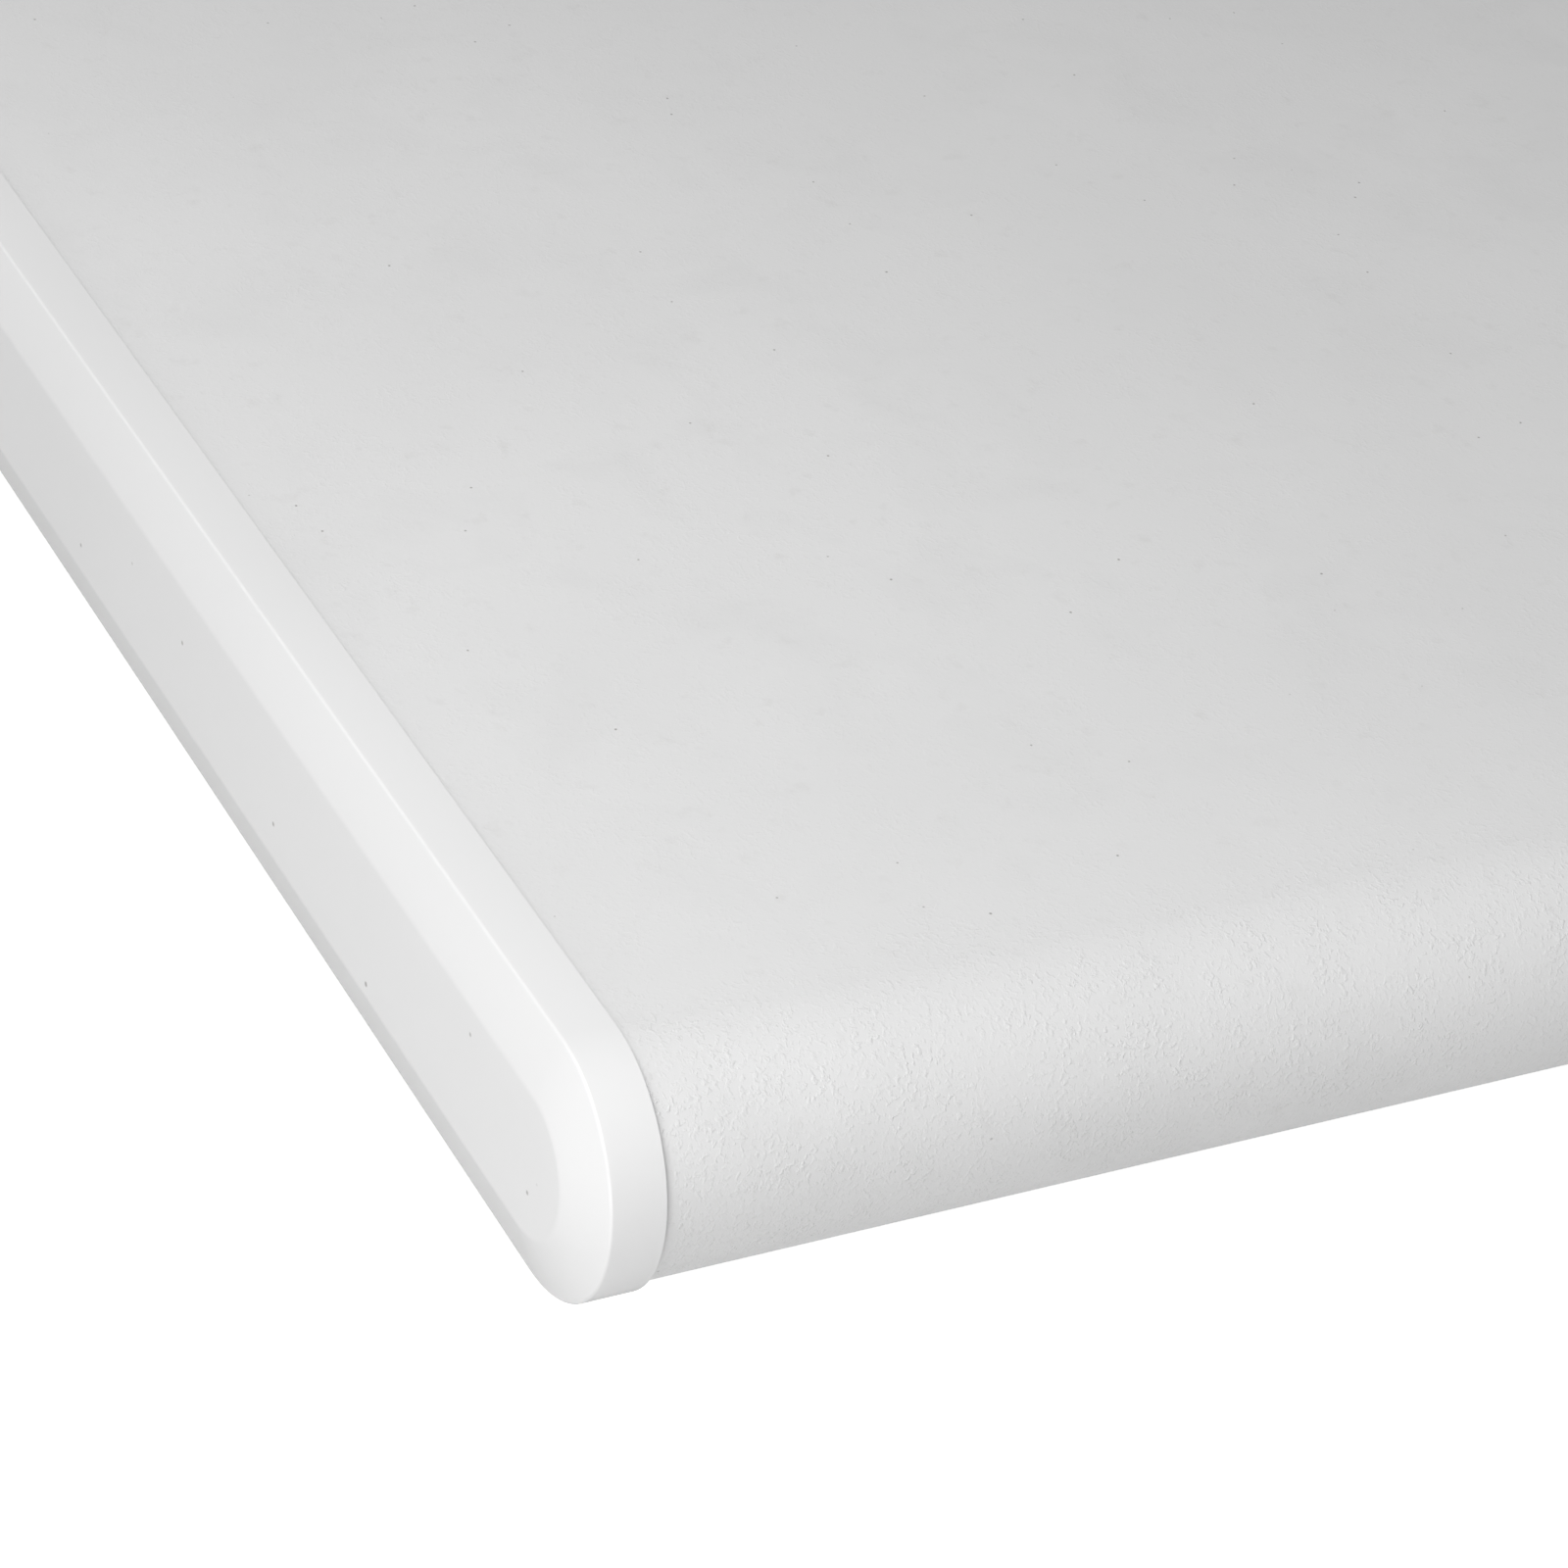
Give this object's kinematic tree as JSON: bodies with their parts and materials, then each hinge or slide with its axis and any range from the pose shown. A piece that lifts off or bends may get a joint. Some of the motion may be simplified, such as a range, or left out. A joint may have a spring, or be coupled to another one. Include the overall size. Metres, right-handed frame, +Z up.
{
  "type": "diving board",
  "caption": "Diving board: a long white half-round-edged plank with moulded end caps, bolted to a hinged rocker frame on coil springs over a tubular deck base.",
  "frame": {"origin": "centre of the deck anchor holes, on the deck surface under the feet", "axes": "+Z up, -Y from the stand out over the water towards the board's tip, +X across the board"},
  "size_m": [0.464, 1.957, 0.506],
  "materials": {
    "plank_skin": "off-white stippled non-slip powder coat on extruded aluminium, matte",
    "cap_plastic": "smooth moulded white plastic, semi-gloss",
    "sleeve_aluminium": "plain turned tube",
    "rocker_paint": "pewter grey powder coat, fine orange peel, satin",
    "base_steel": "stainless steel, brushed tube, welded",
    "pin_steel": "ground stainless bar",
    "stainless_fasteners": "plain stainless, machined",
    "spring_steel": "black epoxy coated spring wire, satin",
    "bush_plastic": "natural nylon",
    "plug_plastic": "black moulded plastic",
    "rubber": "black moulded rubber",
    "lug_brass": "cast brass, dull"
  },
  "bodies": {
    "base": {"side_hoop_left": "base_steel", "side_hoop_right": "base_steel", "foot_flange_front_left": "base_steel", "foot_flange_front_right": "base_steel", "foot_flange_back_left": "base_steel", "foot_flange_back_right": "base_steel", "spring_beam": "base_steel", "hinge_beam": "base_steel", "gussets": "base_steel", "bonding_lug": "lug_brass", "bonding_lug_screw": "stainless_fasteners", "hinge_clevis_left": "base_steel", "hinge_clevis_right": "base_steel", "hinge_pin": "pin_steel", "hinge_pin_washers": "stainless_fasteners", "hinge_pin_nuts": "stainless_fasteners", "lower_spring_cup_left": "base_steel", "lower_spring_cup_right": "base_steel", "coil_spring_left": "spring_steel", "coil_spring_right": "spring_steel", "rebound_bolts": "stainless_fasteners", "rebound_head_washers": "stainless_fasteners", "rebound_buffers": "rubber", "rebound_washers": "stainless_fasteners", "rebound_nuts": "stainless_fasteners"},
    "rocker": {"plank": "plank_skin", "tip_end_cap": "cap_plastic", "butt_end_cap": "cap_plastic", "tip_cap_screws": "stainless_fasteners", "butt_cap_screws": "stainless_fasteners", "board_bolts": "stainless_fasteners", "board_bolt_washers": "stainless_fasteners", "board_nut_washers": "stainless_fasteners", "board_nuts": "stainless_fasteners", "crush_sleeves": "sleeve_aluminium", "board_bolt_gaskets": "rubber", "rail_end_plugs": "plug_plastic", "beam_end_plugs": "plug_plastic", "rocker_brace": "rocker_paint", "fulcrum_beam": "rocker_paint", "butt_beam_front": "rocker_paint", "butt_beam_back": "rocker_paint", "spring_plate": "rocker_paint", "fulcrum_pad": "rubber", "butt_pad_front": "rubber", "butt_pad_back": "rubber", "fulcrum_pad_screws": "stainless_fasteners", "bump_stop": "rubber", "bump_stop_stud": "stainless_fasteners", "bump_stop_nut": "stainless_fasteners", "rocker_rail_left": "rocker_paint", "hinge_ear_left": "rocker_paint", "hinge_bush_left": "bush_plastic", "thrust_washer_left": "bush_plastic", "upper_spring_cup_left": "rocker_paint", "rocker_rail_right": "rocker_paint", "hinge_ear_right": "rocker_paint", "hinge_bush_right": "bush_plastic", "thrust_washer_right": "bush_plastic", "upper_spring_cup_right": "rocker_paint"}
  },
  "joints": [
    {"name": "rocker_hinge", "type": "hinge", "parent": "base", "child": "rocker", "pos_m": [0, 0.27, 0.285], "axis": [1, 0, 0], "range_deg": [0, 3], "stiffness_Nm_per_rad": 30000, "springref_deg": -0.72, "deforming": ["coil_spring_left", "coil_spring_right"]}
  ]
}
